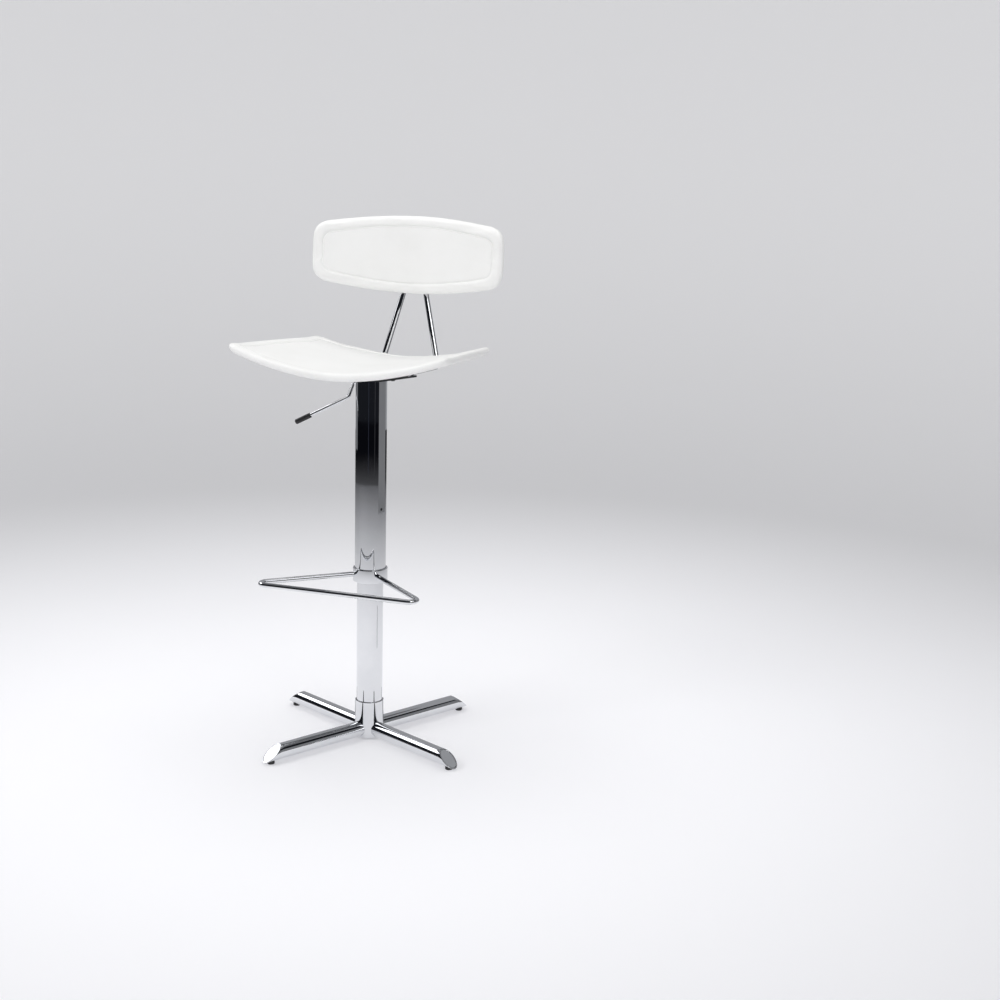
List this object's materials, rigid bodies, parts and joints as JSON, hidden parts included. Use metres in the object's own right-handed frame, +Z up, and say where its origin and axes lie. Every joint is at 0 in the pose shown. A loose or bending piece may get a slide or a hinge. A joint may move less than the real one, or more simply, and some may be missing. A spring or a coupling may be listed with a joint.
{
  "type": "adjustable swivel bar stool",
  "caption": "Height-adjustable swivel stool: saddle-shaped padded seat, low curved backrest on a bent rod, gas-lift column with a triangular footrest, and a tubular cross base.",
  "frame": {"origin": "centre of the base on the floor, on the column's axis", "axes": "+Z up along the column, the seat faces -Y, the release lever is on -X, the sitter's right"},
  "size_m": [0.4576, 0.4576, 1.0159],
  "materials": {
    "chrome": "polished chrome plate",
    "steel": "zinc-plated steel, hidden or small",
    "dark_steel": "black coated steel",
    "black_plastic": "moulded black plastic",
    "nylon": "natural nylon",
    "rubber": "black rubber",
    "plywood": "bent plywood, hidden",
    "leatherette": "off-white leatherette, fine grain, sewn border"
  },
  "bodies": {
    "base": {"hub": "chrome", "foot_plate": "steel", "leg_1": "chrome", "leg_2": "chrome", "leg_3": "chrome", "leg_4": "chrome", "leg_cap_1": "chrome", "leg_cap_2": "chrome", "leg_cap_3": "chrome", "leg_cap_4": "chrome", "glide_1": "black_plastic", "glide_2": "black_plastic", "glide_3": "black_plastic", "glide_4": "black_plastic", "stand_tube": "chrome", "lower_race": "steel"},
    "gas_rod": {"piston_rod": "steel", "ball_cage": "nylon", "upper_race": "steel", "retaining_clip": "steel", "rubber_buffer": "rubber"},
    "seat": {"sleeve_tube": "chrome", "footrest_collar": "chrome", "footrest_rod": "chrome", "bracket_plate": "chrome", "bracket_boss": "chrome", "bracket_screw_1": "chrome", "bracket_screw_2": "chrome", "back_rod": "chrome", "cone_socket": "steel", "lever_bracket": "steel", "lever_pin": "steel", "seat_bolt_1": "steel", "seat_bolt_2": "steel", "seat_bolt_3": "steel", "seat_bolt_4": "steel", "seat_nut_1": "steel", "seat_nut_2": "steel", "seat_nut_3": "steel", "seat_nut_4": "steel", "gas_cylinder": "dark_steel", "seat_plate": "dark_steel", "bush_screw_1": "dark_steel", "bush_screw_2": "dark_steel", "collar_screw": "dark_steel", "seat_spacer_1": "black_plastic", "seat_spacer_2": "black_plastic", "seat_spacer_3": "black_plastic", "seat_spacer_4": "black_plastic", "upper_bush": "nylon", "lower_bush": "nylon", "seat_core": "plywood", "backrest_core": "plywood", "seat_cover": "leatherette", "backrest_cover": "leatherette"},
    "lever": {"lever_rod": "chrome", "lever_grip": "black_plastic"},
    "valve_pin": {"release_pin": "steel"}
  },
  "joints": [
    {"name": "seat_swivel", "type": "hinge", "parent": "base", "child": "gas_rod", "pos_m": [0, 0, 0.016], "axis": [0, 0, 1], "continuous": true},
    {"name": "height_slide", "type": "slide", "parent": "gas_rod", "child": "seat", "axis": [0, 0, 1], "range_m": [-0.2, 0]},
    {"name": "lever_lift", "type": "hinge", "parent": "seat", "child": "lever", "pos_m": [-0.016, 0, 0.7058], "axis": [0, 1, 0], "range_deg": [0, 10], "stiffness_Nm_per_rad": 2},
    {"name": "valve_pin_slide", "type": "slide", "parent": "seat", "child": "valve_pin", "axis": [0, 0, 1], "range_m": [-0.003, 0]}
  ],
  "couplings": [
    {"joint": "valve_pin_slide", "follows": "lever_lift", "m_per_rad": -0.0168}
  ]
}
